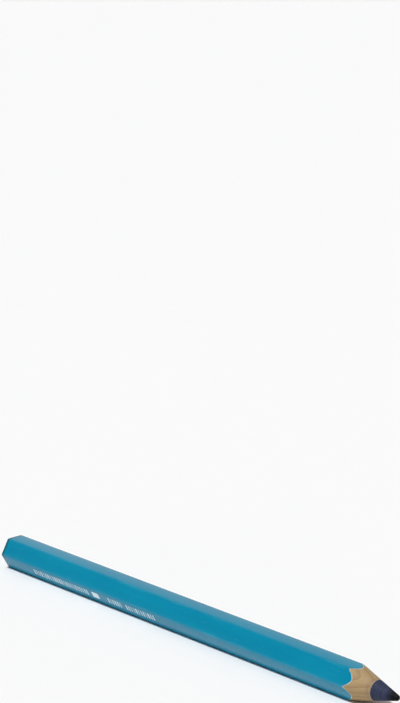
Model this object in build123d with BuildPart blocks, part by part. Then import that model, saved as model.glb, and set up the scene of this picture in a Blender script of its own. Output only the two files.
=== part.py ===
from build123d import *
from math import cos, radians, sin, tan
import os

# Jumbo wood-cased marking pencil: a thick waxy lead glued between two grooved slats,
# planed to a hexagon, primed, lacquered, dipped at the rear end and sharpened at the front.
# The pencil lies on one facet along +X with its tip at +X, and the floor is at Z = 0.

# Driving dimensions, in millimetres and degrees
LENGTH = 175.0  # rear end face to the blunt tip
ACROSS_FLATS = 10.0  # finished barrel, over the lacquer
EDGE_ROUNDING = 0.9  # long edges of the finished barrel
GROUND_COAT = 0.05  # pale primer on the bare wood
COLOUR_COAT = 0.08  # coloured lacquer over the primer
LEAD_DIAMETER = 6.25
GLUE_FILM = 0.08  # adhesive between the slats and round the lead
POINT_ANGLE = 31.5  # full angle of the sharpened cone
TIP_ROUNDING = 0.95  # ball end that use has worn on the lead
DIP_THICKNESS = 0.2  # lacquer over the rear end face
DIP_DEPTH = 1.5  # how far the dipped cap reaches along the barrel
END_ROUNDING = 0.6  # rim of the dipped cap

# Worked-out sizes and places
TIP = LENGTH / 2
REAR = -LENGTH / 2
WOOD_END = REAR + DIP_THICKNESS
DIP_FRONT = REAR + DIP_DEPTH
AXIS_HEIGHT = ACROSS_FLATS / 2
COATING = GROUND_COAT + COLOUR_COAT
LEAD_RADIUS = LEAD_DIAMETER / 2
GROOVE_RADIUS = LEAD_RADIUS + GLUE_FILM
HALF_ANGLE = radians(POINT_ANGLE / 2)
WASTE_RADIUS = ACROSS_FLATS  # well outside the barrel's corners
BARREL_SIDES = 6

PENCIL_AXIS = Axis((0, 0, AXIS_HEIGHT), (1, 0, 0))
PARTING_PLANE = Plane.XY.offset(AXIS_HEIGHT)
TIP_PLANE = Plane(origin=(TIP, 0, AXIS_HEIGHT), x_dir=(1, 0, 0), z_dir=(0, -1, 0))


def cross_plane(x):
    """Plane square to the pencil at x, with its own X across the barrel."""
    return Plane(origin=(x, 0, AXIS_HEIGHT), x_dir=(0, 1, 0), z_dir=(1, 0, 0))


def hexagon(x, inset):
    """Barrel section at x, set in from the finished lacquer and lying on a flat."""
    with BuildSketch(cross_plane(x)) as section:
        RegularPolygon(ACROSS_FLATS / 2 - inset, BARREL_SIDES, major_radius=False)
        fillet(section.vertices(), EDGE_ROUNDING - inset)
    return section.sketch


# Everything that sharpening takes away: all that lies outside the cone and its ball end
cone_start = (TIP_ROUNDING * (sin(HALF_ANGLE) - 1), TIP_ROUNDING * cos(HALF_ANGLE))
cone_run = (WASTE_RADIUS - cone_start[1]) / tan(HALF_ANGLE)
with BuildPart() as point_waste:
    with BuildSketch(TIP_PLANE) as waste_profile:
        with BuildLine():
            ball_end = TangentArc((0, 0), cone_start, tangent=(0, 1))
            cone = Line(ball_end @ 1, (cone_start[0] - cone_run, WASTE_RADIUS))
            Polyline(cone @ 1, (WASTE_RADIUS, WASTE_RADIUS), (WASTE_RADIUS, 0), (0, 0))
        make_face()
    revolve(axis=PENCIL_AXIS)

# Planed and sharpened wood before it is grooved, with its rear rim eased
with BuildPart() as casing_blank:
    extrude(hexagon(WOOD_END, COATING), amount=TIP - WOOD_END)
    fillet(casing_blank.faces().sort_by(Axis.X)[0].edges(), END_ROUNDING - COATING)
    add(point_waste.part, mode=Mode.SUBTRACT)

# Groove that the lead lies in, with room for the adhesive round it
with BuildPart() as lead_groove:
    with BuildSketch(cross_plane(WOOD_END)):
        Circle(GROOVE_RADIUS)
    extrude(amount=TIP - WOOD_END)

# Marking lead, sharpened with the wood and worn to a blunt ball
with BuildPart() as lead_core:
    with BuildSketch(cross_plane(WOOD_END)):
        Circle(LEAD_RADIUS)
    extrude(amount=TIP - WOOD_END)
    add(point_waste.part, mode=Mode.SUBTRACT)

# Upper half of the casing
with BuildPart() as upper_slat:
    add(casing_blank.part)
    add(lead_groove.part, mode=Mode.SUBTRACT)
    split(bisect_by=PARTING_PLANE.offset(GLUE_FILM / 2), keep=Keep.TOP)

# Lower half of the casing
with BuildPart() as lower_slat:
    add(casing_blank.part)
    add(lead_groove.part, mode=Mode.SUBTRACT)
    split(bisect_by=PARTING_PLANE.offset(-GLUE_FILM / 2), keep=Keep.BOTTOM)

# Adhesive: a sleeve round the lead with a wing out to each long edge of the wood
with BuildPart() as glue_film:
    with BuildSketch(cross_plane(WOOD_END)):
        Rectangle(2 * ACROSS_FLATS, GLUE_FILM)
        Circle(GROOVE_RADIUS)
        Circle(LEAD_RADIUS, mode=Mode.SUBTRACT)
    extrude(amount=TIP - WOOD_END)
    add(casing_blank.part, mode=Mode.INTERSECT)

# Primer on the wood, cut back to a scalloped line by the sharpening
with BuildPart() as ground_coat:
    extrude(hexagon(DIP_FRONT, COLOUR_COAT), amount=TIP - DIP_FRONT)
    extrude(hexagon(DIP_FRONT, COATING), amount=TIP - DIP_FRONT, mode=Mode.SUBTRACT)
    add(point_waste.part, mode=Mode.SUBTRACT)

# Coloured lacquer over the primer, with the same scallops a little further back
with BuildPart() as colour_coat:
    extrude(hexagon(DIP_FRONT, 0), amount=TIP - DIP_FRONT)
    extrude(hexagon(DIP_FRONT, COLOUR_COAT), amount=TIP - DIP_FRONT, mode=Mode.SUBTRACT)
    add(point_waste.part, mode=Mode.SUBTRACT)

# Lacquer cap dipped over the rear end, flush with the coats on the barrel
with BuildPart() as end_dip:
    extrude(hexagon(REAR, 0), amount=DIP_DEPTH)
    fillet(end_dip.faces().sort_by(Axis.X)[0].edges(), END_ROUNDING)
    add(casing_blank.part, mode=Mode.SUBTRACT)

pieces = {
    "lead_core": lead_core,
    "upper_slat": upper_slat,
    "lower_slat": lower_slat,
    "glue_film": glue_film,
    "ground_coat": ground_coat,
    "colour_coat": colour_coat,
    "end_dip": end_dip,
}
os.makedirs("parts", exist_ok=True)
for name, piece in pieces.items():
    piece.part.label = name
    export_step(piece.part, f"parts/{name}.step")
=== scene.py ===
"""Jumbo marking pencil: the finish of its pieces, and a pale studio floor to show it on."""
import math

import bmesh
import bpy
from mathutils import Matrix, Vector, noise


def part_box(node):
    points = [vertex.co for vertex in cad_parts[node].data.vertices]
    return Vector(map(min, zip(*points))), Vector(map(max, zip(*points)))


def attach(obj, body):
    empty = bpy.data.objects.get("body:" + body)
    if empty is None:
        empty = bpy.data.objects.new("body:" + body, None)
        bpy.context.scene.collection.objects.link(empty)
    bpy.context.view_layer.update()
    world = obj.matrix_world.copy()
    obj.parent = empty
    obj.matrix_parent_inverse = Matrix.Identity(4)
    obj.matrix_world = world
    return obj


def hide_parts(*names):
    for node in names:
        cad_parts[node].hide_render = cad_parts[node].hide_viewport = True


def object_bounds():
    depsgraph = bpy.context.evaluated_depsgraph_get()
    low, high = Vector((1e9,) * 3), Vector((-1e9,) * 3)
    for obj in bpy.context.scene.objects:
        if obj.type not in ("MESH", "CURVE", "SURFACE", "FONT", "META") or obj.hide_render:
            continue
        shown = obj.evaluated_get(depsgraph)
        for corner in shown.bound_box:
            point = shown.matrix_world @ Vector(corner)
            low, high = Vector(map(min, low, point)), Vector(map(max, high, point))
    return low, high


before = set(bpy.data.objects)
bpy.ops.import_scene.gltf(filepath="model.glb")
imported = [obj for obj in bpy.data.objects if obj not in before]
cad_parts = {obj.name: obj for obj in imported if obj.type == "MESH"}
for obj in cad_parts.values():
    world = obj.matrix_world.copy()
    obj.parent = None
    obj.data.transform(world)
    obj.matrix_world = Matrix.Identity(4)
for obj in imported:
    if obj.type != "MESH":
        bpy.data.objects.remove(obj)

bl_info = {
    "name": "Marking Pencil",
    "version": (1, 0, 0),
    "blender": (4, 5, 0),
    "location": "3D View > Sidebar > Pencil",
    "description": "Builds a wood-cased marking pencil piece by piece round its packed solids",
    "category": "Add Mesh",
}

MM = 0.001
BODY = "root"

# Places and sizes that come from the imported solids, in metres
CAD_LOW, CAD_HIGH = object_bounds()
REAR_X = CAD_LOW.x
TIP_X = CAD_HIGH.x
ACROSS_FLATS = CAD_HIGH.z - CAD_LOW.z
AXIS_HEIGHT = (CAD_LOW.z + CAD_HIGH.z) / 2
WOOD_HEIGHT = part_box("upper_slat")[1].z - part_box("lower_slat")[0].z
PRIMED_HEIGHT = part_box("ground_coat")[1].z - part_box("ground_coat")[0].z
LEAD_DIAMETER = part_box("lead_core")[1].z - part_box("lead_core")[0].z
GROOVE_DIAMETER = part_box("glue_film")[1].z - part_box("glue_film")[0].z
WOOD_END_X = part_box("lead_core")[0].x
DIP_FRONT_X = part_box("end_dip")[1].x

# Fineness of the meshes; points closer than the weld become one
SIDES = 6
CORNER_STEP = math.radians(360 / SIDES)
ARC_STEPS = 8
FLAT_STEPS = 20
COAT_ROWS = 48
CONE_ROWS = 84
RIM_STEPS = 6
SIDE_ROWS = 10
DISC_ROWS = 18
ROUND_STEPS = 168
STAMP_ARC_STEPS = 4
SHARP_ANGLE = math.radians(28)
WELD = 1e-7

# Blade marks on the cone: turns that they drift over, how far they drift, and shares of their depth
DRIFT_TURNS = 3
DRIFT_PHASE = 3
EVEN_DEPTH = 0.6
DRIFT_DEPTH = 0.4

# Front edges of the coats: how rows of points crowd towards them, and the noise that chips them
ROW_CROWDING = 3
CHIP_FREQUENCY = 1.1 / MM
CHIP_DETAIL = 4.0
CHIP_RANGE = (0.42, 0.8)
PRIMER_CHIPPING = 0.5
PRIMER_SEED = 2
LACQUER_SEED = 5

# Foil: where the groups of dashes begin and end and where the bar begins, from the pencil's rear end,
# the least and greatest share of a dash's width, and the turn from the upper facet to the marked one
MARK_GROUPS = ((16.5 * MM, 44.4 * MM), (53.4 * MM, 60.4 * MM), (62.2 * MM, 76.6 * MM))
MARK_BAR = 45.4 * MM
DASH_WIDTHS = (0.4, 1.0)
MARK_FACET = 2 * CORNER_STEP

# Distances from the pencil's axis between which a finish changes
RUBBED_EDGE = (5.35 * MM, 5.62 * MM)
LEAD_DUST = (3.2 * MM, 3.8 * MM)

# Places along the pencil between which a finish changes
# DIP_RIM and DIP_FADE bound the painted shade in the dip's lacquer: a dark band just behind the rear rim
DIP_RIM = (REAR_X + 0.08 * MM, REAR_X + 0.25 * MM)
DIP_FADE = (REAR_X + 1.0 * MM, DIP_FRONT_X)
# Stretch before the worn tip over which painted shade darkens the lead
TIP_SHADE_SPAN = (TIP_X - 4.2 * MM, TIP_X - 1.8 * MM)

# Crown of the lacquer from the middle of a facet to its long edges, by the square of the distance
# from the axis, which is 1 at the middle
CROWN_SPAN = (1.0, 1.27)
CROWN_HEIGHT = 0.15 * MM

# Where most values of a noise lie
NOISE_RANGE = (0.3, 0.7)

# Shares of the shaded colour in the floor's specks and at its rim
FLOOR_SPECKS = 0.05
FLOOR_RIM = 0.6

# Direction of the wall past the rear end, and where the room's shades change
END_WALL = (-0.97, 0.22, 0.0)
END_WALL_SPAN = (0.66, 0.88)
BEHIND_SPAN = (-0.3, 0.6)
OVERHEAD_SPAN = (0.7, 0.95)

# Width of the camera's sensor in millimetres, and the nearest that it sees in metres
SENSOR_WIDTH = 36.0
NEAREST = 0.01


def length(label, description, default):
    """Length property in metres."""
    return bpy.props.FloatProperty(
        name=label, description=description, default=default, min=0.0,
        subtype="DISTANCE", unit="LENGTH", precision=5)


def angle(label, description, degrees):
    """Angle property, with its default in degrees."""
    return bpy.props.FloatProperty(
        name=label, description=description, default=math.radians(degrees),
        subtype="ANGLE", unit="ROTATION")


def colour(label, description, default):
    """Opaque colour property, with its default in linear red, green and blue."""
    return bpy.props.FloatVectorProperty(
        name=label, description=description, default=(*default, 1.0), size=4,
        min=0.0, max=1.0, subtype="COLOR")


class PencilSizes(bpy.types.PropertyGroup):
    """Sizes of the pencil's pieces."""
    edge_rounding: length("Edge rounding", "Radius of the barrel's long edges", 0.9 * MM)
    colour_coat: length("Colour coat", "Thickness of the coloured lacquer",
                        (ACROSS_FLATS - PRIMED_HEIGHT) / 2)
    ground_coat: length("Ground coat", "Thickness of the primer", (PRIMED_HEIGHT - WOOD_HEIGHT) / 2)
    glue_film: length("Glue film", "Thickness of the adhesive", (GROOVE_DIAMETER - LEAD_DIAMETER) / 2)
    lead_radius: length("Lead radius", "Half the lead's diameter", LEAD_DIAMETER / 2)
    tip_rounding: length("Tip rounding", "Radius of the worn tip", 0.95 * MM)
    end_rounding: length("End rounding", "Radius of the dipped end's rim", 0.6 * MM)
    dip_bevel: length("Dip bevel", "Fine groove where the dipped end meets the barrel", 0.03 * MM)
    dip_sink: length("Dip sink", "How far the end face sinks in round the lead", 0.07 * MM)
    dip_slope: length("Dip slope", "Width of the slope where the end face sinks in", 0.6 * MM)
    chip_depth: length("Chip depth", "How far the cut lacquer edge is broken back", 0.3 * MM)
    blade_pitch: length("Blade pitch", "Spacing of the sharpening marks along the cone", 0.5 * MM)
    blade_depth: length("Blade depth", "Depth of the sharpening marks", 0.016 * MM)
    point_angle: angle("Point angle", "Full angle of the sharpened cone", 31.5)


class MarkSizes(bpy.types.PropertyGroup):
    """Sizes of the plain foil dashes on the lower front facet."""
    height: length("Height", "Height of a dash across the facet", 2.4 * MM)
    width: length("Width", "Greatest width of a dash along the pencil", 0.55 * MM)
    pitch: length("Pitch", "Spacing of the dashes", 1.15 * MM)
    bar: length("Bar", "Length of the plain bar between the dashes", 3.2 * MM)
    corner: length("Corner", "Radius of the corners of the dashes and the bar", 0.26 * MM)
    film: length("Film", "Thickness of the foil", 0.008 * MM)
    rise: length("Rise", "How far the row lies above the middle of the facet", 0.55 * MM)
    seed: bpy.props.IntProperty(name="Seed", description="Choice of the dashes' widths", default=7)


class PencilColours(bpy.types.PropertyGroup):
    """Colours of the pencil's finishes."""
    lacquer: colour("Lacquer", "Turquoise lacquer", (0.002, 0.25, 0.396))
    lacquer_deep: colour("Deep lacquer", "Lacquer where the coat is thicker", (0.001, 0.221, 0.364))
    lacquer_rubbed: colour("Rubbed lacquer", "Lacquer rubbed thin on the long edges", (0.037, 0.33, 0.46))
    # Dip colour: thicker lacquer on the dipped end, and painted shade on the band behind its rear rim
    lacquer_dip_and_rim_shade: colour("Dip lacquer", "Lacquer gathered on the dipped end", (0.001, 0.09, 0.1))
    primer: colour("Primer", "Pale ground coat", (0.62, 0.64, 0.6))
    primer_dull: colour("Dull primer", "Primer stained by the wood", (0.5, 0.47, 0.4))
    wood: colour("Wood", "Pale early wood", (0.45, 0.315, 0.16))
    wood_dark: colour("Dark wood", "Late wood and pores", (0.318, 0.206, 0.097))
    glue: colour("Glue", "Dried adhesive", (0.42, 0.31, 0.17))
    glue_dark: colour("Dark glue", "Adhesive soaked into the wood", (0.27, 0.18, 0.09))
    lead: colour("Lead", "Violet blue marking lead", (0.046, 0.058, 0.118))
    # Dark lead: darker grains in the lead, and the painted shade on its worn tip
    lead_dark_and_tip_shade: colour("Dark lead", "Burnished and worn lead", (0.003, 0.003, 0.005))
    foil: colour("Foil", "Pale stamping foil", (0.74, 0.87, 0.92))


class StageSettings(bpy.types.PropertyGroup):
    """Camera, floor, lamp and room."""
    azimuth: angle("Azimuth", "Direction of the camera round the pencil", 47.38)
    elevation: angle("Elevation", "Height of the camera above the horizon", 14.74)
    distance: length("Distance", "Camera to the point that it looks at", 0.8153)
    target: bpy.props.FloatVectorProperty(
        name="Target", description="Point in the middle of the picture",
        default=(-0.0181, 0.02, 0.0833), subtype="TRANSLATION", unit="LENGTH")
    lens: bpy.props.FloatProperty(
        name="Lens", description="Focal length for the sensor's width on the picture's long side",
        default=134.23, subtype="DISTANCE_CAMERA")
    floor_radius: length("Floor radius", "Radius of the round floor", 6.0)
    floor_flat: length("Flat floor", "Radius inside which the floor is flat", 3.0)
    floor_rise: length("Floor rise", "How far the floor curves up towards its rim", 1.0)
    floor_pale: colour("Floor", "Pale studio floor", (0.95, 0.95, 0.95))
    floor_shaded: colour("Shaded floor", "Specks in the floor and its raised rim", (0.8, 0.8, 0.8))
    lamp_strength: bpy.props.FloatProperty(
        name="Lamp strength", description="Strength of the lamp", default=2.44, min=0.0)
    lamp_height: angle("Lamp height", "Angle of the lamp above the horizon, in front of the pencil", 67)
    lamp_spread: angle("Lamp spread", "Angle that the lamp takes up, for soft edges on the shadows", 6)
    room_front: colour("Room in front", "Dim room that the front facets mirror", (0.07, 0.07, 0.072))
    room_behind: colour("Room behind", "Paler wall behind the pencil", (0.2, 0.2, 0.2))
    end_wall: colour("End wall", "Light wall past the rear end", (0.84, 0.84, 0.84))
    overhead: colour("Overhead", "Glow straight overhead", (0.5, 0.5, 0.5))


# Steps that the node trees share

def put(tree, kind, inputs=None, **options):
    """Adds a node, sets its options, and fills or links its inputs by name or number."""
    node = tree.nodes.new(kind)
    for option, value in options.items():
        setattr(node, option, value)
    for key, value in (inputs or {}).items():
        if isinstance(value, bpy.types.NodeSocket):
            tree.links.new(value, node.inputs[key])
        else:
            node.inputs[key].default_value = value
    return node


def calc(tree, operation, *terms):
    """Output of one Math node on numbers or sockets."""
    return put(tree, "ShaderNodeMath", dict(enumerate(terms)), operation=operation).outputs[0]


def vector_calc(tree, operation, *terms):
    """Output of one Vector Math node, which is a number for a length, distance or dot product."""
    node = put(tree, "ShaderNodeVectorMath", dict(enumerate(terms)), operation=operation)
    is_number = operation in ("LENGTH", "DISTANCE", "DOT_PRODUCT")
    return node.outputs["Value" if is_number else "Vector"]


def triple(tree, **parts):
    """Vector made of the given X, Y and Z, with 0 for those left out."""
    return put(tree, "ShaderNodeCombineXYZ", parts).outputs["Vector"]


def span(tree, value, limits, to=(0.0, 1.0)):
    """Value between two limits carried over to another span, and held at its ends."""
    inputs = {"Value": value, "From Min": limits[0], "From Max": limits[1],
              "To Min": to[0], "To Max": to[1]}
    return put(tree, "ShaderNodeMapRange", inputs).outputs["Result"]


# The forms of the pieces

def half_angle(sizes):
    """Angle between the pencil's axis and the sharpened cone."""
    return sizes.point_angle / 2


def apex_x(sizes):
    """Where the cone would come to a point if the tip weren't worn."""
    return TIP_X + sizes.tip_rounding * (1 / math.sin(half_angle(sizes)) - 1)


def point_x(sizes, radius):
    """Where the sharpened surface stands at a distance from the pencil's axis."""
    ball = sizes.tip_rounding
    if radius < ball * math.cos(half_angle(sizes)):
        return TIP_X - ball + math.sqrt(ball ** 2 - radius ** 2)
    return apex_x(sizes) - radius / math.tan(half_angle(sizes))


def wood_inset(sizes):
    """Depth of the bare wood under the finished surface."""
    return sizes.colour_coat + sizes.ground_coat


def outline(sizes, inset, first, last):
    """Points (y, z) of the rounded hexagon, set in from the finished barrel.

    They run between two directions of the surface's normal, round the axis from +Y towards +Z.
    """
    rounding = sizes.edge_rounding - inset
    reach = (ACROSS_FLATS / 2 - sizes.edge_rounding) / math.cos(CORNER_STEP / 2)
    points = []
    for corner in range(2 * SIDES):
        middle = corner * CORNER_STEP
        start = max(first, middle - CORNER_STEP / 2)
        stop = min(last, middle + CORNER_STEP / 2)
        if stop - start < WELD:
            continue
        centre = Vector((math.cos(middle), math.sin(middle))) * reach
        angles = [start + (stop - start) * i / ARC_STEPS for i in range(ARC_STEPS + 1)]
        arc = [centre + Vector((math.cos(a), math.sin(a))) * rounding for a in angles]
        if points:
            points += [points[-1].lerp(arc[0], i / FLAT_STEPS) for i in range(1, FLAT_STEPS)]
        points += arc
    return points


def closed_outline(sizes, inset):
    """Whole ring of the rounded hexagon, without a repeated point."""
    points = outline(sizes, inset, -CORNER_STEP / 2, math.tau - CORNER_STEP / 2)
    points += [points[-1].lerp(points[0], i / FLAT_STEPS) for i in range(1, FLAT_STEPS)]
    return points


def circle(radius):
    """Ring of points (y, z) round the axis."""
    turns = [math.tau * i / ROUND_STEPS for i in range(ROUND_STEPS)]
    return [Vector((math.cos(a), math.sin(a))) * radius for a in turns]


def at(x, point):
    """Place in the frame of a section point at x along the pencil."""
    return Vector((x, point.x, point.y + AXIS_HEIGHT))


def cut(sizes, point, depth=0.0):
    """Place on the sharpened surface over a section point, sunk by the depth of a blade mark."""
    radius = point.length
    sunk = point * (1 - depth * math.cos(half_angle(sizes)) / radius)
    return at(point_x(sizes, radius) - depth * math.sin(half_angle(sizes)), sunk)


def blade_mark(sizes, point):
    """Depth of the fine spiral that the blade leaves, uneven from turn to turn."""
    turns = point.length / math.sin(half_angle(sizes)) / sizes.blade_pitch
    bearing = math.atan2(point.y, point.x)
    drift = noise.noise(Vector((turns / DRIFT_TURNS, math.cos(bearing), math.sin(bearing))))
    wave = (1 + math.sin(math.tau * turns + bearing + DRIFT_PHASE * drift)) / 2
    return sizes.blade_depth * wave * (EVEN_DEPTH + DRIFT_DEPTH * drift)


def skin(shape, rows, ring=True, loop=False):
    """Adds faces over rows of places; a row of one place is a pole.

    ring joins the ends of every row, and loop joins the last row to the first.
    """
    grid = [[shape.verts.new(place) for place in row] for row in rows]
    pairs = list(zip(grid, grid[1:]))
    if loop:
        pairs.append((grid[-1], grid[0]))
    for near, far in pairs:
        count = max(len(near), len(far))
        for i in range(count if ring else count - 1):
            j = (i + 1) % count
            corners = [near[i % len(near)], near[j % len(near)], far[j % len(far)], far[i % len(far)]]
            shape.faces.new(list(dict.fromkeys(corners)))
    return grid


def settle(piece, material, *, stands_for=()):
    """Merges, checks and smooths a finished mesh, gives it its finish and ties it to the pencil."""
    shape = bmesh.new()
    shape.from_mesh(piece.data)
    bmesh.ops.remove_doubles(shape, verts=shape.verts, dist=WELD)
    bmesh.ops.recalc_face_normals(shape, faces=shape.faces)
    if not shape.faces or any(len(edge.link_faces) != 2 for edge in shape.edges):
        raise RuntimeError(f"{piece.name} isn't a closed surface")
    for face in shape.faces:
        face.smooth = True
    for edge in shape.edges:
        edge.smooth = edge.calc_face_angle() < SHARP_ANGLE
    shape.to_mesh(piece.data)
    shape.free()
    piece.data.materials.clear()
    piece.data.materials.append(material)
    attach(piece, BODY)
    if stands_for:
        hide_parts(*stands_for)
    return piece


def new_piece(name, shape=None):
    """Object at the origin in the scene, with the mesh of the given shape."""
    mesh = bpy.data.meshes.new(name)
    if shape:
        shape.to_mesh(mesh)
        shape.free()
    piece = bpy.data.objects.new(name, mesh)
    bpy.context.scene.collection.objects.link(piece)
    return piece


def node_tree(name, numbers):
    """Geometry node tree with named numbers, a seed and a finish as inputs; gives it and its inputs."""
    tree = bpy.data.node_groups.new(name, "GeometryNodeTree")
    kinds = {label: "NodeSocketFloat" for label in numbers}
    kinds.update({"Seed": "NodeSocketInt", "Finish": "NodeSocketMaterial"})
    for label, kind in kinds.items():
        tree.interface.new_socket(label, in_out="INPUT", socket_type=kind)
    tree.interface.new_socket("Geometry", in_out="OUTPUT", socket_type="NodeSocketGeometry")
    return tree, tree.nodes.new("NodeGroupInput").outputs


def end_tree(tree, geometry, finish):
    """Ends a geometry node tree with a plain mesh in its finish."""
    real = put(tree, "GeometryNodeRealizeInstances", {"Geometry": geometry})
    dressed = put(tree, "GeometryNodeSetMaterial",
                  {"Geometry": real.outputs["Geometry"], "Material": finish})
    put(tree, "NodeGroupOutput", {"Geometry": dressed.outputs["Geometry"]})
    return tree


def join(tree, *parts):
    """Several geometries as one, in the given order."""
    node = put(tree, "GeometryNodeJoinGeometry")
    for part in parts:
        tree.links.new(part, node.inputs["Geometry"])
    return node.outputs["Geometry"]


def grow(name, tree, values):
    """Runs a geometry node tree with the given inputs and keeps the result as a plain mesh."""
    piece = new_piece(name)
    modifier = piece.modifiers.new(tree.name, "NODES")
    modifier.node_group = tree
    for item in tree.interface.items_tree:
        if item.in_out == "INPUT":
            modifier[item.identifier] = values[item.name]
    evaluated = piece.evaluated_get(bpy.context.evaluated_depsgraph_get())
    piece.data = bpy.data.meshes.new_from_object(evaluated)
    piece.modifiers.clear()
    return piece


def coat_tree():
    """Node tree of a film on the hexagonal barrel, cut at the front by the sharpening cone.

    A rounded hexagon is swept along rows that run forward on the film's outer face and
    back on its inner face, and the cone sets how far forward each point of a row comes.
    """
    tree, given = node_tree("Hexagonal coat", (
        "Across Flats", "Edge Rounding", "Inset", "Thickness", "Rear X", "Apex X",
        "Half Angle", "Axis Height", "Chip Depth"))

    barrel_half = calc(tree, "MULTIPLY", given["Across Flats"], 0.5)
    half_width = calc(tree, "SUBTRACT", barrel_half, given["Inset"])
    reach = calc(tree, "DIVIDE", half_width, math.cos(CORNER_STEP / 2))
    rounding = calc(tree, "SUBTRACT", given["Edge Rounding"], given["Inset"])
    hexagon = put(tree, "GeometryNodeCurvePrimitiveCircle", {"Resolution": SIDES, "Radius": reach})
    rounded = put(tree, "GeometryNodeFilletCurve",
                  {"Curve": hexagon.outputs["Curve"], "Count": ARC_STEPS, "Radius": rounding},
                  mode="POLY").outputs["Curve"]

    # Only the long flats are divided further
    index = put(tree, "GeometryNodeInputIndex").outputs["Index"]
    position = put(tree, "GeometryNodeInputPosition").outputs["Position"]
    points = put(tree, "GeometryNodeAttributeDomainSize", {"Geometry": rounded}, component="CURVE")
    following = calc(tree, "MODULO", calc(tree, "ADD", index, 1), points.outputs["Point Count"])
    neighbour = put(tree, "GeometryNodeFieldAtIndex", {"Value": position, "Index": following},
                    data_type="FLOAT_VECTOR")
    stride = vector_calc(tree, "DISTANCE", position, neighbour.outputs["Value"])
    cuts = calc(tree, "MULTIPLY", calc(tree, "GREATER_THAN", stride, rounding), FLAT_STEPS - 1)
    section = put(tree, "GeometryNodeSubdivideCurve", {"Curve": rounded, "Cuts": cuts})

    line = put(tree, "GeometryNodeCurvePrimitiveLine", {"End": (1, 0, 0)})
    path = put(tree, "GeometryNodeResampleCurve",
               {"Curve": line.outputs["Curve"], "Count": 2 * COAT_ROWS + 1})
    numbered = put(tree, "GeometryNodeCaptureAttribute", {"Geometry": path.outputs["Curve"]})
    numbered.capture_items.new("FLOAT", "Row")
    tree.links.new(put(tree, "GeometryNodeSplineParameter").outputs["Index"], numbered.inputs["Row"])
    sleeve = put(tree, "GeometryNodeCurveToMesh",
                 {"Curve": numbered.outputs["Geometry"], "Profile Curve": section.outputs["Curve"]})

    # Rows count forward on the outer face, then back on the inner one to where they began
    row = numbered.outputs["Row"]
    from_front = calc(tree, "ABSOLUTE", calc(tree, "SUBTRACT", row, COAT_ROWS - 0.5))
    backward = span(tree, from_front, (0.5, COAT_ROWS - 0.5))
    from_inner = calc(tree, "ABSOLUTE", calc(tree, "SUBTRACT", row, 1.5 * COAT_ROWS - 0.5))
    inner = calc(tree, "LESS_THAN", from_inner, COAT_ROWS / 2)
    forward = calc(tree, "SUBTRACT", 1, calc(tree, "POWER", backward, ROW_CROWDING))

    normal = put(tree, "GeometryNodeInputNormal").outputs["Normal"]
    depth = calc(tree, "MULTIPLY", inner, given["Thickness"])
    sunk = vector_calc(tree, "MULTIPLY_ADD", normal, calc(tree, "MULTIPLY", depth, -1), position)
    across = vector_calc(tree, "MULTIPLY", sunk, (0, 1, 1))
    radius = vector_calc(tree, "LENGTH", across)

    chips = put(tree, "ShaderNodeTexNoise",
                {"Vector": across, "W": given["Seed"], "Scale": CHIP_FREQUENCY, "Detail": CHIP_DETAIL},
                noise_dimensions="4D").outputs["Fac"]
    broken = calc(tree, "MULTIPLY", span(tree, chips, CHIP_RANGE), given["Chip Depth"])
    run = calc(tree, "DIVIDE", radius, calc(tree, "TANGENT", given["Half Angle"]))
    front = calc(tree, "SUBTRACT", calc(tree, "SUBTRACT", given["Apex X"], run), broken)
    x = span(tree, forward, (0.0, 1.0), (given["Rear X"], front))
    parts = put(tree, "ShaderNodeSeparateXYZ", {"Vector": across}).outputs
    place = triple(tree, X=x, Y=parts["Y"], Z=calc(tree, "ADD", parts["Z"], given["Axis Height"]))
    moved = put(tree, "GeometryNodeSetPosition", {"Geometry": sleeve.outputs["Mesh"], "Position": place})
    return end_tree(tree, moved.outputs["Geometry"], given["Finish"])


def foil_stamp(tree, given, width):
    """Closed flat patch of foil with rounded corners, centred on the origin, with its width along X."""
    rectangle = put(tree, "GeometryNodeCurvePrimitiveQuadrilateral",
                    {"Width": width, "Height": given["Height"]})
    rounded = put(tree, "GeometryNodeFilletCurve",
                  {"Curve": rectangle.outputs["Curve"], "Count": STAMP_ARC_STEPS,
                   "Radius": given["Corner"]},
                  mode="POLY")
    face = put(tree, "GeometryNodeFillCurve", {"Curve": rounded.outputs["Curve"]}, mode="NGONS")
    raised = put(tree, "GeometryNodeExtrudeMesh",
                 {"Mesh": face.outputs["Mesh"], "Offset Scale": given["Film"], "Individual": False})
    under = put(tree, "GeometryNodeFlipFaces", {"Mesh": face.outputs["Mesh"]})
    return join(tree, raised.outputs["Mesh"], under.outputs["Mesh"])


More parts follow.
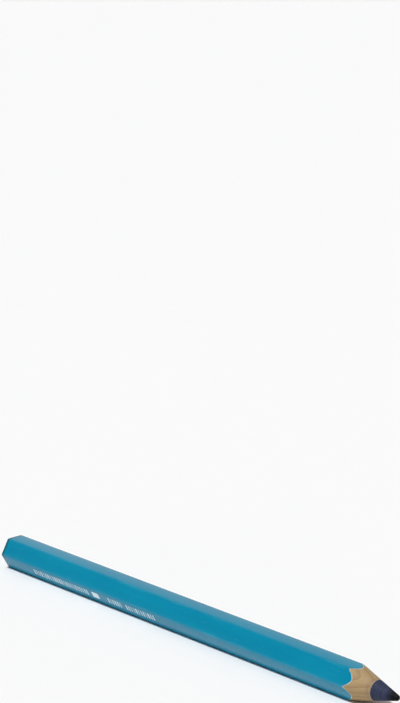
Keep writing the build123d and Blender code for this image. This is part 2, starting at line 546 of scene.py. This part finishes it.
def foil_tree():
    """Node tree of plain rounded dashes in groups, and one bar, along the lower front facet."""
    tree, given = node_tree("Foil dashes", (
        "Height", "Width", "Pitch", "Bar", "Corner", "Film", "Rise",
        "Across Flats", "Axis Height", "Rear X"))

    rows = []
    for start, stop in MARK_GROUPS:
        count = calc(tree, "FLOOR", calc(tree, "DIVIDE", stop - start, given["Pitch"]))
        first = triple(tree, X=calc(tree, "ADD", given["Rear X"], start))
        row = put(tree, "GeometryNodeMeshLine",
                  {"Count": count, "Start Location": first, "Offset": triple(tree, X=given["Pitch"])})
        rows.append(row.outputs["Mesh"])
    share = put(tree, "FunctionNodeRandomValue", {"Seed": given["Seed"]}, data_type="FLOAT")
    width = span(tree, share.outputs["Value"], (0.0, 1.0), DASH_WIDTHS)
    dashes = put(tree, "GeometryNodeInstanceOnPoints",
                 {"Points": join(tree, *rows), "Instance": foil_stamp(tree, given, given["Width"]),
                  "Scale": triple(tree, X=width, Y=1.0, Z=1.0)})
    bar_start = calc(tree, "ADD", given["Rear X"], MARK_BAR)
    bar_middle = calc(tree, "MULTIPLY_ADD", given["Bar"], 0.5, bar_start)
    bar = put(tree, "GeometryNodeTransform",
              {"Geometry": foil_stamp(tree, given, given["Bar"]),
               "Translation": triple(tree, X=bar_middle)})
    stamps = join(tree, dashes.outputs["Instances"], bar.outputs["Geometry"])

    # From flat on the origin to the facet that looks down at the front
    stand_off = calc(tree, "MULTIPLY", given["Across Flats"], 0.5)
    y = calc(tree, "ADD", calc(tree, "MULTIPLY", stand_off, -math.sin(MARK_FACET)),
             calc(tree, "MULTIPLY", given["Rise"], math.cos(MARK_FACET)))
    z = calc(tree, "ADD", calc(tree, "MULTIPLY", stand_off, math.cos(MARK_FACET)),
             calc(tree, "MULTIPLY", given["Rise"], math.sin(MARK_FACET)))
    place = triple(tree, Y=y, Z=calc(tree, "ADD", z, given["Axis Height"]))
    turned = put(tree, "GeometryNodeTransform",
                 {"Geometry": stamps, "Translation": place, "Rotation": (MARK_FACET, 0, 0)})
    return end_tree(tree, turned.outputs["Geometry"], given["Finish"])


# The finishes

def new_finish(name):
    """New material; gives it, its node tree, its shader and the object coordinates."""
    material = bpy.data.materials.new(name)
    material.use_nodes = True
    tree = material.node_tree
    place = put(tree, "ShaderNodeTexCoord").outputs["Object"]
    return material, tree, tree.nodes["Principled BSDF"], place


def speckle(tree, place, per_metre, detail=3.0, shift=0.0):
    """Noise over the object, with its own frequency along X, Y and Z."""
    mapped = put(tree, "ShaderNodeMapping",
                 {"Vector": place, "Location": (shift, shift, shift), "Scale": per_metre})
    return put(tree, "ShaderNodeTexNoise",
               {"Vector": mapped.outputs["Vector"], "Scale": 1.0, "Detail": detail}).outputs["Fac"]


def along_pencil(tree, place):
    """Distance along the pencil."""
    return put(tree, "ShaderNodeSeparateXYZ", {"Vector": place}).outputs["X"]


def from_axis(tree, place):
    """Distance from the pencil's axis."""
    centred = vector_calc(tree, "SUBTRACT", place, (0, 0, AXIS_HEIGHT))
    return vector_calc(tree, "LENGTH", vector_calc(tree, "MULTIPLY", centred, (0, 1, 1)))


def tint(tree, factor, first, second):
    """Colour between two colours, each a socket or a constant."""
    mix = put(tree, "ShaderNodeMix", {0: factor, 6: first, 7: second}, data_type="RGBA")
    return mix.outputs[2]


def relief(tree, shader, *layers):
    """Stacks bumps, each a height socket and the depth in metres that it stands for."""
    normal = None
    for height, depth in layers:
        bump = put(tree, "ShaderNodeBump", {"Height": height, "Distance": depth, "Strength": 1.0})
        if normal:
            tree.links.new(normal, bump.inputs["Normal"])
        normal = bump.outputs["Normal"]
    tree.links.new(normal, shader.inputs["Normal"])


def dress(tree, shader, base, roughness, **constants):
    """Links base colour and roughness, and sets the shader's other inputs by name."""
    tree.links.new(base, shader.inputs["Base Color"])
    tree.links.new(roughness, shader.inputs["Roughness"])
    for name, value in constants.items():
        shader.inputs[name.replace("_", " ")].default_value = value


def lacquer_finish(colours):
    """Glossy turquoise lacquer.

    It is clouded, crowned on the facets, rubbed thin on the long edges, and darker on the dipped end,
    where thicker lacquer and painted shade darken the band behind its rear rim.
    """
    material, tree, shader, place = new_finish("lacquer_finish")
    clouds = span(tree, speckle(tree, place, (30, 240, 240)), NOISE_RANGE)
    tone = tint(tree, clouds, colours.lacquer_deep, colours.lacquer)
    outward = from_axis(tree, place)
    edge = span(tree, outward, RUBBED_EDGE)
    patches = speckle(tree, place, (90, 500, 500), shift=3.0)
    rubbed = calc(tree, "MULTIPLY", edge, span(tree, patches, (0.5, 0.68), (0.0, 0.4)))
    tone = tint(tree, rubbed, tone, colours.lacquer_rubbed)
    hairs = speckle(tree, place, (70, 5200, 5200), detail=2.0, shift=7.0)
    tone = tint(tree, span(tree, hairs, (0.66, 0.74), (0.0, 0.12)), tone, colours.lacquer_rubbed)
    along = along_pencil(tree, place)
    # Painted shade: a dark band behind the rear rim, laid over the thicker lacquer of the dipped end
    dipped = span(tree, along, DIP_FADE, (1.0, 0.0))
    dip_and_rim_shade = calc(tree, "MULTIPLY", dipped, span(tree, along, DIP_RIM, (0.2, 0.9)))
    tone = tint(tree, dip_and_rim_shade, tone, colours.lacquer_dip_and_rim_shade)
    handling = speckle(tree, place, (160, 900, 900), detail=4.0, shift=1.0)
    rough = span(tree, handling, NOISE_RANGE, (0.18, 0.28))
    grain = speckle(tree, place, (40, 2400, 2400), shift=5.0)
    peel = speckle(tree, place, (900, 900, 900), detail=1.0)
    spread = calc(tree, "POWER", calc(tree, "DIVIDE", outward, ACROSS_FLATS / 2), 2)
    crown = span(tree, spread, CROWN_SPAN, (1.0, 0.0))
    relief(tree, shader, (crown, CROWN_HEIGHT), (grain, 0.003 * MM), (peel, 0.004 * MM))
    dress(tree, shader, tone, rough, IOR=1.37)
    return material


def primer_finish(colours):
    """Chalky pale primer, stained in places."""
    material, tree, shader, place = new_finish("primer_finish")
    stains = span(tree, speckle(tree, place, (700, 1400, 1400), detail=4.0), (0.4, 0.65))
    tone = tint(tree, stains, colours.primer, colours.primer_dull)
    rough = span(tree, speckle(tree, place, (2500, 2500, 2500)), NOISE_RANGE, (0.6, 0.8))
    relief(tree, shader, (speckle(tree, place, (4000, 4000, 4000)), 0.01 * MM))
    dress(tree, shader, tone, rough)
    return material


def wood_finish(colours):
    """Sharpened softwood: growth rings, fibres and pores along the pencil, with lead dust by the lead."""
    material, tree, shader, place = new_finish("wood_finish")
    log = put(tree, "ShaderNodeMapping",
              {"Vector": place, "Location": (0.0, 0.021, -0.034), "Scale": (0.08, 1.0, 1.0)})
    rings = put(tree, "ShaderNodeTexWave",
                {"Vector": log.outputs["Vector"], "Scale": 210.0, "Distortion": 2.4, "Detail": 3.0,
                 "Detail Scale": 1.4},
                wave_type="RINGS", rings_direction="X", wave_profile="SAW").outputs["Fac"]
    fibre = speckle(tree, place, (140, 6500, 6500), detail=4.0)
    late_wood = calc(tree, "POWER", rings, 2.5)
    blend = calc(tree, "MULTIPLY_ADD", late_wood, 0.45, calc(tree, "MULTIPLY", fibre, 0.55))
    tone = tint(tree, span(tree, blend, (0.2, 0.72)), colours.wood, colours.wood_dark)
    pores = speckle(tree, place, (420, 9000, 9000), detail=2.0, shift=4.0)
    tone = tint(tree, span(tree, pores, (0.64, 0.72), (0.0, 0.55)), tone, colours.wood_dark)
    near_lead = span(tree, from_axis(tree, place), LEAD_DUST, (0.45, 0.0))
    streaks = speckle(tree, place, (4200, 260, 260), detail=4.0, shift=2.0)
    dust = calc(tree, "MULTIPLY", near_lead, span(tree, streaks, (0.4, 0.62)))
    tone = tint(tree, dust, tone, colours.lead)
    rough = span(tree, fibre, NOISE_RANGE, (0.55, 0.75))
    scored = speckle(tree, place, (9000, 120, 120), detail=2.0, shift=6.0)
    relief(tree, shader, (fibre, 0.02 * MM), (scored, 0.008 * MM))
    dress(tree, shader, tone, rough, Specular_IOR_Level=0.35)
    return material


def glue_finish(colours):
    """Dried adhesive, darker where it has soaked in."""
    material, tree, shader, place = new_finish("glue_finish")
    soaked = span(tree, speckle(tree, place, (600, 3000, 3000)), (0.35, 0.65))
    tone = tint(tree, soaked, colours.glue, colours.glue_dark)
    rough = span(tree, soaked, (0.0, 1.0), (0.4, 0.6))
    relief(tree, shader, (speckle(tree, place, (5000, 5000, 5000)), 0.01 * MM))
    dress(tree, shader, tone, rough)
    return material


def lead_finish(colours):
    """Waxy violet lead: pigment grains, fine turning lines, and painted shade that darkens the worn tip.
    """
    material, tree, shader, place = new_finish("lead_finish")
    grains = span(tree, speckle(tree, place, (2600, 2600, 2600), detail=4.0), NOISE_RANGE)
    turned = speckle(tree, place, (6000, 200, 200))
    mottle = calc(tree, "MULTIPLY_ADD", grains, 0.3, span(tree, turned, (0.35, 0.65), (0.0, 0.3)))
    tone = tint(tree, mottle, colours.lead, colours.lead_dark_and_tip_shade)
    # Painted shade: the worn tip is darkened to near black
    worn = span(tree, along_pencil(tree, place), TIP_SHADE_SPAN)
    tone = tint(tree, worn, tone, colours.lead_dark_and_tip_shade)
    smears = speckle(tree, place, (300, 1500, 1500), shift=2.0)
    rough = span(tree, smears, NOISE_RANGE, (0.55, 0.75))
    relief(tree, shader, (turned, 0.014 * MM), (grains, 0.006 * MM))
    dress(tree, shader, tone, rough, Specular_IOR_Level=0.16)
    return material


def foil_finish(colours):
    """Thin pale stamping foil, worn through to the lacquer in specks."""
    material, tree, shader, place = new_finish("foil_finish")
    specks = speckle(tree, place, (5200, 5200, 5200), detail=4.0)
    worn = span(tree, specks, (0.6, 0.68), (0.0, 0.6))
    tone = tint(tree, worn, colours.foil, colours.lacquer)
    metal = span(tree, worn, (0.0, 1.0), (0.2, 0.0))
    rough = span(tree, speckle(tree, place, (1800, 1800, 1800)), NOISE_RANGE, (0.3, 0.45))
    relief(tree, shader, (speckle(tree, place, (3000, 3000, 3000)), 0.004 * MM))
    dress(tree, shader, tone, rough)
    tree.links.new(metal, shader.inputs["Metallic"])
    return material


def floor_finish(stage):
    """Plain pale paper, with painted shade where it curves up to the light."""
    material, tree, shader, place = new_finish("floor_finish")
    pulp = speckle(tree, place, (140, 140, 140), detail=4.0)
    specks = span(tree, pulp, NOISE_RANGE, (0.0, FLOOR_SPECKS))
    outward = vector_calc(tree, "LENGTH", place)
    # Painted shade on the raised rim, which holds back the extra light that it catches
    raised = span(tree, outward, (stage.floor_flat, stage.floor_radius), (0.0, FLOOR_RIM))
    tone = tint(tree, calc(tree, "ADD", specks, raised), stage.floor_pale, stage.floor_shaded)
    rough = span(tree, pulp, NOISE_RANGE, (0.85, 0.95))
    dress(tree, shader, tone, rough, Specular_IOR_Level=0.1)
    return material


# The operators

class PENCIL_OT_marking_lead(bpy.types.Operator):
    """Adds the lead, turned to a cone by sharpening and worn to a blunt tip"""
    bl_idname = "pencil.marking_lead"
    bl_label = "Marking Lead"

    def execute(self, context):
        sizes = context.scene.pencil_sizes
        ring = circle(1.0)
        lead = sizes.lead_radius
        ball = sizes.tip_rounding
        slope = half_angle(sizes)
        ball_edge = ball * math.cos(slope)
        front = point_x(sizes, lead)
        rows = [[at(WOOD_END_X, Vector((0, 0)))]]
        for i in range(SIDE_ROWS + 1):
            x = WOOD_END_X + (front - WOOD_END_X) * i / SIDE_ROWS
            rows.append([at(x, point * lead) for point in ring])
        for i in range(1, CONE_ROWS + 1):
            radius = lead + (ball_edge - lead) * i / CONE_ROWS
            rows.append([cut(sizes, point * radius, blade_mark(sizes, point * radius)) for point in ring])
        for i in range(1, ARC_STEPS):
            radius = ball * math.cos(slope + (math.pi / 2 - slope) * i / ARC_STEPS)
            rows.append([cut(sizes, point * radius) for point in ring])
        rows.append([at(TIP_X, Vector((0, 0)))])
        shape = bmesh.new()
        skin(shape, rows)
        finish = lead_finish(context.scene.pencil_colours)
        settle(new_piece("marking_lead", shape), finish, stands_for=["lead_core"])
        return {"FINISHED"}


class PENCIL_OT_casing_slats(bpy.types.Operator):
    """Adds the two grooved wooden halves of the casing"""
    bl_idname = "pencil.casing_slats"
    bl_label = "Casing Slats"

    # Each slat's name, the solid that it stands for and its turn about the axis
    slats = (("casing_upper", "upper_slat", 0.0), ("casing_lower", "lower_slat", math.pi))

    def execute(self, context):
        sizes = context.scene.pencil_sizes
        finish = wood_finish(context.scene.pencil_colours)
        for name, node, turn in self.slats:
            shape = self.slat(sizes, turn)
            settle(new_piece(name, shape), finish, stands_for=[node])
        return {"FINISHED"}

    @staticmethod
    def half(sizes, inset, turn):
        """Points (y, z) over one half of the planed hexagon, ending at the glue line."""
        lift = math.asin(sizes.glue_film / 2 / (sizes.edge_rounding - inset))
        return outline(sizes, inset, turn + lift, turn + math.pi - lift)

    @staticmethod
    def groove(sizes, outer, turn):
        """Points (y, z) of the half-round groove, one under each point of the outside."""
        radius = sizes.lead_radius + sizes.glue_film
        lift = math.asin(sizes.glue_film / 2 / radius)
        begin = math.atan2(outer[0].y, outer[0].x) % math.tau
        sweep = math.pi - 2 * (begin - turn)
        points = []
        for point in outer:
            share = ((math.atan2(point.y, point.x) - begin + WELD) % math.tau) / sweep
            bearing = turn + lift + share * (math.pi - 2 * lift)
            points.append(Vector((math.cos(bearing), math.sin(bearing))) * radius)
        return points

    def slat(self, sizes, turn):
        """Closed shape of one slat: rounded rear rim, planed outside, cut cone and groove."""
        inset = wood_inset(sizes)
        rim = sizes.end_rounding - inset
        outer = self.half(sizes, inset, turn)
        groove = self.groove(sizes, outer, turn)
        rows = []
        for i in range(RIM_STEPS):
            swing = math.pi / 2 * i / RIM_STEPS
            rim_inset = inset + rim * (1 - math.sin(swing))
            x = WOOD_END_X + rim * (1 - math.cos(swing))
            rows.append([at(x, point) for point in self.half(sizes, rim_inset, turn)])
        begin_x = WOOD_END_X + rim
        for i in range(SIDE_ROWS + 1):
            share = i / SIDE_ROWS
            rows.append([at(begin_x + (point_x(sizes, p.length) - begin_x) * share, p) for p in outer])
        for i in range(1, CONE_ROWS + 1):
            section = [o.lerp(g, i / CONE_ROWS) for o, g in zip(outer, groove)]
            rows.append([cut(sizes, point, blade_mark(sizes, point)) for point in section])
        front = point_x(sizes, sizes.lead_radius + sizes.glue_film)
        for i in range(1, SIDE_ROWS + 1):
            x = front + (WOOD_END_X - front) * i / SIDE_ROWS
            rows.append([at(x, point) for point in groove])
        shape = bmesh.new()
        grid = skin(shape, rows, ring=False, loop=True)
        shape.faces.new([row[0] for row in grid])
        shape.faces.new([row[-1] for row in grid])
        return shape


class PENCIL_OT_glue_film(bpy.types.Operator):
    """Adds the adhesive: a sleeve round the lead and a wing to each long edge"""
    bl_idname = "pencil.glue_film"
    bl_label = "Glue Film"

    def execute(self, context):
        sizes = context.scene.pencil_sizes
        film = sizes.glue_film
        lead = sizes.lead_radius
        groove = lead + film
        shape = bmesh.new()
        loops = ((WOOD_END_X, groove), (point_x(sizes, groove), groove),
                 (point_x(sizes, lead), lead), (WOOD_END_X, lead))
        skin(shape, [[at(x, point * radius) for point in circle(1.0)] for x, radius in loops], loop=True)
        rim = sizes.end_rounding - wood_inset(sizes)
        edge = outline(sizes, wood_inset(sizes), -CORNER_STEP / 2, CORNER_STEP / 2)[ARC_STEPS // 2].x
        for side in (1, -1):
            section = [Vector((side * groove, -film / 2)), Vector((side * edge, -film / 2)),
                       Vector((side * edge, film / 2)), Vector((side * groove, film / 2))]
            rear = [at(WOOD_END_X + rim, point) for point in section]
            ahead = [cut(sizes, point) for point in section]
            for end in skin(shape, [rear, ahead]):
                shape.faces.new(end)
        finish = glue_finish(context.scene.pencil_colours)
        settle(new_piece("glue_seam", shape), finish, stands_for=["glue_film"])
        return {"FINISHED"}


class PENCIL_OT_barrel_coats(bpy.types.Operator):
    """Adds the primer and the lacquer on the barrel, with their scalloped and chipped front edges"""
    bl_idname = "pencil.barrel_coats"
    bl_label = "Barrel Coats"

    def execute(self, context):
        sizes = context.scene.pencil_sizes
        colours = context.scene.pencil_colours
        tree = coat_tree()
        shared = {"Across Flats": ACROSS_FLATS, "Edge Rounding": sizes.edge_rounding,
                  "Rear X": DIP_FRONT_X, "Apex X": apex_x(sizes), "Half Angle": half_angle(sizes),
                  "Axis Height": AXIS_HEIGHT}
        primer = primer_finish(colours)
        primed = grow("primer_coat", tree, {
            **shared, "Inset": sizes.colour_coat, "Thickness": sizes.ground_coat,
            "Chip Depth": sizes.chip_depth * PRIMER_CHIPPING, "Seed": PRIMER_SEED, "Finish": primer})
        settle(primed, primer, stands_for=["ground_coat"])
        lacquer = lacquer_finish(colours)
        barrel = grow("lacquer_coat", tree, {
            **shared, "Inset": 0.0, "Thickness": sizes.colour_coat,
            "Chip Depth": sizes.chip_depth, "Seed": LACQUER_SEED, "Finish": lacquer})
        settle(barrel, lacquer, stands_for=["colour_coat"])
        return {"FINISHED"}


class PENCIL_OT_dipped_end(bpy.types.Operator):
    """Adds the cap over the rear end, in the barrel's lacquer"""
    bl_idname = "pencil.dipped_end"
    bl_label = "Dipped End"

    def execute(self, context):
        sizes = context.scene.pencil_sizes
        wood = wood_inset(sizes)
        outside = self.bowl(sizes, 0.0, REAR_X, sizes.end_rounding, sizes.dip_sink)
        inside = self.bowl(sizes, wood, WOOD_END_X, sizes.end_rounding - wood, 0.0)
        lip = [[at(DIP_FRONT_X - sizes.dip_bevel, p) for p in closed_outline(sizes, 0.0)],
               [at(DIP_FRONT_X, p) for p in closed_outline(sizes, sizes.dip_bevel)],
               [at(DIP_FRONT_X, p) for p in closed_outline(sizes, wood)]]
        shape = bmesh.new()
        skin(shape, outside + lip + inside[::-1])
        finish = bpy.data.materials["lacquer_finish"]
        settle(new_piece("dipped_end", shape), finish, stands_for=["end_dip"])
        return {"FINISHED"}

    @staticmethod
    def bowl(sizes, inset, end_x, rim, sink):
        """Rows of one face of the cap: a disc over the lead, a sink round it, the rim and the side."""
        flat = closed_outline(sizes, inset + rim)
        reach = sizes.lead_radius + sizes.dip_slope / 2
        disc = [point.normalized() * reach for point in flat]
        rows = [[at(end_x, Vector((0, 0)))]]
        for i in range(1, DISC_ROWS + 1):
            share = i / DISC_ROWS
            fall = max(0.0, 1 - reach * (1 - share) / sizes.dip_slope)
            x = end_x + sink * fall ** 2 * (3 - 2 * fall)
            rows.append([at(x, point * share) for point in disc])
        for i in range(1, RIM_STEPS):
            x = end_x + sink * (1 - i / RIM_STEPS)
            rows.append([at(x, d.lerp(f, i / RIM_STEPS)) for d, f in zip(disc, flat)])
        for i in range(RIM_STEPS + 1):
            swing = math.pi / 2 * i / RIM_STEPS
            x = end_x + rim * (1 - math.cos(swing))
            rows.append([at(x, p) for p in closed_outline(sizes, inset + rim * (1 - math.sin(swing)))])
        return rows


class PENCIL_OT_foil_dashes(bpy.types.Operator):
    """Adds the row of plain foil dashes on the lower front facet"""
    bl_idname = "pencil.foil_dashes"
    bl_label = "Foil Dashes"

    def execute(self, context):
        marks = context.scene.pencil_marks
        finish = foil_finish(context.scene.pencil_colours)
        row = grow("foil_dashes", foil_tree(), {
            "Height": marks.height, "Width": marks.width, "Pitch": marks.pitch, "Bar": marks.bar,
            "Corner": marks.corner, "Film": marks.film, "Rise": marks.rise, "Seed": marks.seed,
            "Across Flats": ACROSS_FLATS, "Axis Height": AXIS_HEIGHT, "Rear X": REAR_X, "Finish": finish})
        settle(row, finish)
        return {"FINISHED"}


class PENCIL_OT_stage(bpy.types.Operator):
    """Adds the pale floor, the room, the lamp and the camera"""
    bl_idname = "pencil.stage"
    bl_label = "Studio Stage"

    def execute(self, context):
        stage = context.scene.pencil_stage
        self.floor(stage)
        self.room(context, stage)
        self.lamp(context, stage)
        self.camera(context, stage)
        context.scene.view_settings.view_transform = "Standard"
        return {"FINISHED"}

    @staticmethod
    def floor(stage):
        """Round floor under the pencil that curves up towards its rim, so that no horizon shows."""
        rows = []
        for i in range(SIDE_ROWS + 1):
            share = 1 - i / SIDE_ROWS
            radius = stage.floor_flat + (stage.floor_radius - stage.floor_flat) * share
            rows.append([Vector((*point, stage.floor_rise * share ** 2)) for point in circle(radius)])
        rows.append([Vector()])
        shape = bmesh.new()
        skin(shape, rows)
        for face in shape.faces:
            face.smooth = True
        floor = new_piece("floor", shape)
        floor.location.z = CAD_LOW.z
        floor.data.materials.append(floor_finish(stage))

    @staticmethod
    def room(context, stage):
        """Dim room in front, a paler wall behind, a light one past the rear end and a glow overhead."""
        world = bpy.data.worlds.new("Studio")
        world.use_nodes = True
        tree = world.node_tree
        direction = put(tree, "ShaderNodeTexCoord").outputs["Generated"]
        parts = put(tree, "ShaderNodeSeparateXYZ", {"Vector": direction}).outputs
        facing = vector_calc(tree, "DOT_PRODUCT", direction, END_WALL)
        shade = tint(tree, span(tree, parts["Y"], BEHIND_SPAN), stage.room_front, stage.room_behind)
        shade = tint(tree, span(tree, facing, END_WALL_SPAN), shade, stage.end_wall)
        shade = tint(tree, span(tree, parts["Z"], OVERHEAD_SPAN), shade, stage.overhead)
        tree.links.new(shade, tree.nodes["Background"].inputs["Color"])
        context.scene.world = world

    @staticmethod
    def lamp(context, stage):
        """Soft lamp high in front of the pencil, even over the whole floor."""
        light = bpy.data.lights.new("studio_lamp", "SUN")
        light.energy = stage.lamp_strength
        light.angle = stage.lamp_spread
        lamp = bpy.data.objects.new("studio_lamp", light)
        lamp.rotation_euler.x = math.pi / 2 - stage.lamp_height
        context.scene.collection.objects.link(lamp)

    @staticmethod
    def camera(context, stage):
        """Camera at the photograph's viewing angle."""
        lens = bpy.data.cameras.new("camera")
        lens.lens = stage.lens
        lens.sensor_width = SENSOR_WIDTH
        lens.clip_start = NEAREST
        back = Vector((math.sin(stage.azimuth) * math.cos(stage.elevation),
                       -math.cos(stage.azimuth) * math.cos(stage.elevation),
                       math.sin(stage.elevation)))
        camera = bpy.data.objects.new("camera", lens)
        camera.location = Vector(stage.target) + back * stage.distance
        camera.rotation_euler = (-back).to_track_quat("-Z", "Y").to_euler()
        context.scene.collection.objects.link(camera)
        context.scene.camera = camera


GROUPS = {
    "pencil_sizes": PencilSizes,
    "pencil_marks": MarkSizes,
    "pencil_colours": PencilColours,
    "pencil_stage": StageSettings,
}
OPERATORS = (
    PENCIL_OT_marking_lead,
    PENCIL_OT_casing_slats,
    PENCIL_OT_glue_film,
    PENCIL_OT_barrel_coats,
    PENCIL_OT_dipped_end,
    PENCIL_OT_foil_dashes,
    PENCIL_OT_stage,
)


class PENCIL_PT_sidebar(bpy.types.Panel):
    """Lists the pencil's pieces and settings"""
    bl_label = "Marking Pencil"
    bl_space_type = "VIEW_3D"
    bl_region_type = "UI"
    bl_category = "Pencil"

    def draw(self, context):
        for operator in OPERATORS:
            self.layout.operator(operator.bl_idname)
        for name in GROUPS:
            box = self.layout.box()
            settings = getattr(context.scene, name)
            for item in settings.__annotations__:
                box.prop(settings, item)


CLASSES = (*GROUPS.values(), *OPERATORS, PENCIL_PT_sidebar)


def register():
    """Registers the classes and the scene's settings."""
    for item in CLASSES:
        bpy.utils.register_class(item)
    for name, group in GROUPS.items():
        setattr(bpy.types.Scene, name, bpy.props.PointerProperty(type=group))


def unregister():
    """Takes the settings and the classes out again."""
    for name in GROUPS:
        delattr(bpy.types.Scene, name)
    for item in reversed(CLASSES):
        bpy.utils.unregister_class(item)


def main():
    """Builds every piece and the stage."""
    register()
    bpy.ops.pencil.marking_lead()
    bpy.ops.pencil.casing_slats()
    bpy.ops.pencil.glue_film()
    bpy.ops.pencil.barrel_coats()
    bpy.ops.pencil.dipped_end()
    bpy.ops.pencil.foil_dashes()
    bpy.ops.pencil.stage()


if __name__ == "__main__":
    main()
